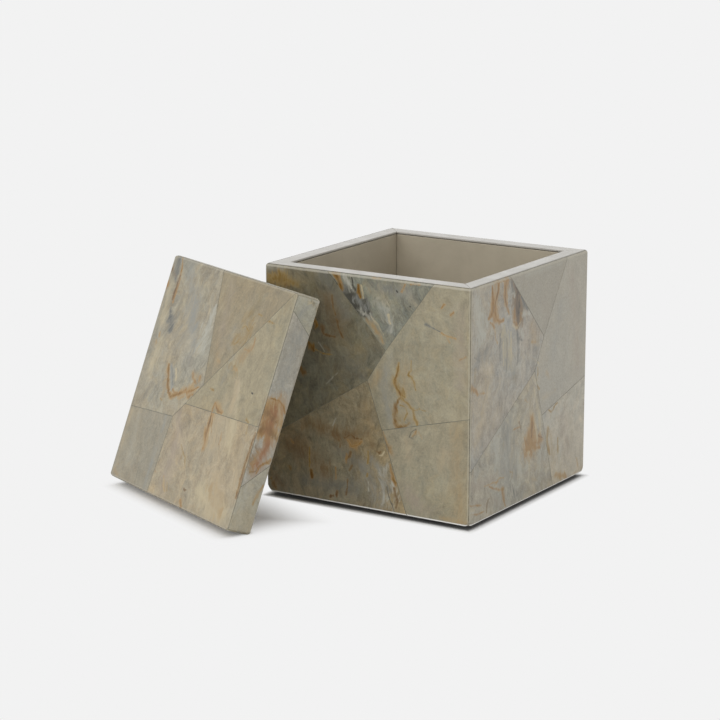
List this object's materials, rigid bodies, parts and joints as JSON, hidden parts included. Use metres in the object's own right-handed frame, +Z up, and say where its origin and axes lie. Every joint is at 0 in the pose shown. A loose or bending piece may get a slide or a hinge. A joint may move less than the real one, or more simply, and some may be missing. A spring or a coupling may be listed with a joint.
{
  "type": "lidded canister",
  "caption": "Square lidded canister clad in stone veneer tiles on a wooden carcass, with a lift-off lid shown leaning on one corner.",
  "frame": {"origin": "middle of the felt's underside, on the surface that the body stands on", "axes": "+Z up; the body's front wall faces -Y and its right wall faces +X; the lid leans on the front left corner"},
  "size_m": [0.2026, 0.1952, 0.122],
  "materials": {
    "stone_tiles": "polished under clear lacquer",
    "carcass": "satin taupe lacquer",
    "rim": "satin pale lacquer",
    "felt": "matt"
  },
  "bodies": {
    "body": {"back_tile_lower_left": "stone_tiles", "back_tile_lower_right": "stone_tiles", "back_tile_top_wedge": "stone_tiles", "back_tile_upper_left": "stone_tiles", "back_tile_upper_right": "stone_tiles", "base_felt": "felt", "floor_board": "carcass", "front_tile_lower_left": "stone_tiles", "front_tile_lower_right": "stone_tiles", "front_tile_top_wedge": "stone_tiles", "front_tile_upper_left": "stone_tiles", "front_tile_upper_right": "stone_tiles", "left_tile_lower_left": "stone_tiles", "left_tile_lower_right": "stone_tiles", "left_tile_top_wedge": "stone_tiles", "left_tile_upper_left": "stone_tiles", "left_tile_upper_right": "stone_tiles", "right_tile_lower_left": "stone_tiles", "right_tile_lower_right": "stone_tiles", "right_tile_top_wedge": "stone_tiles", "right_tile_upper_left": "stone_tiles", "right_tile_upper_right": "stone_tiles", "rim_band_back": "rim", "rim_band_front": "rim", "rim_band_left": "rim", "rim_band_right": "rim", "wall_board_back": "carcass", "wall_board_front": "carcass", "wall_board_left": "carcass", "wall_board_right": "carcass"},
    "lid": {"lid_back_edge_tile_a": "stone_tiles", "lid_back_edge_tile_b": "stone_tiles", "lid_back_edge_tile_c": "stone_tiles", "lid_board": "carcass", "lid_front_edge_tile_a": "stone_tiles", "lid_front_edge_tile_b": "stone_tiles", "lid_front_edge_tile_c": "stone_tiles", "lid_left_edge_tile_a": "stone_tiles", "lid_left_edge_tile_b": "stone_tiles", "lid_left_edge_tile_c": "stone_tiles", "lid_plug": "carcass", "lid_right_edge_tile_a": "stone_tiles", "lid_right_edge_tile_b": "stone_tiles", "lid_right_edge_tile_c": "stone_tiles", "lid_tile_lower_left": "stone_tiles", "lid_tile_lower_right": "stone_tiles", "lid_tile_right": "stone_tiles", "lid_tile_top": "stone_tiles", "lid_tile_upper_left": "stone_tiles"}
  },
  "joints": [
    {"name": "lid_lift", "type": "slide", "parent": "body", "child": "lid", "axis": [0, 0, 1], "range_m": [0, 0.13]}
  ]
}
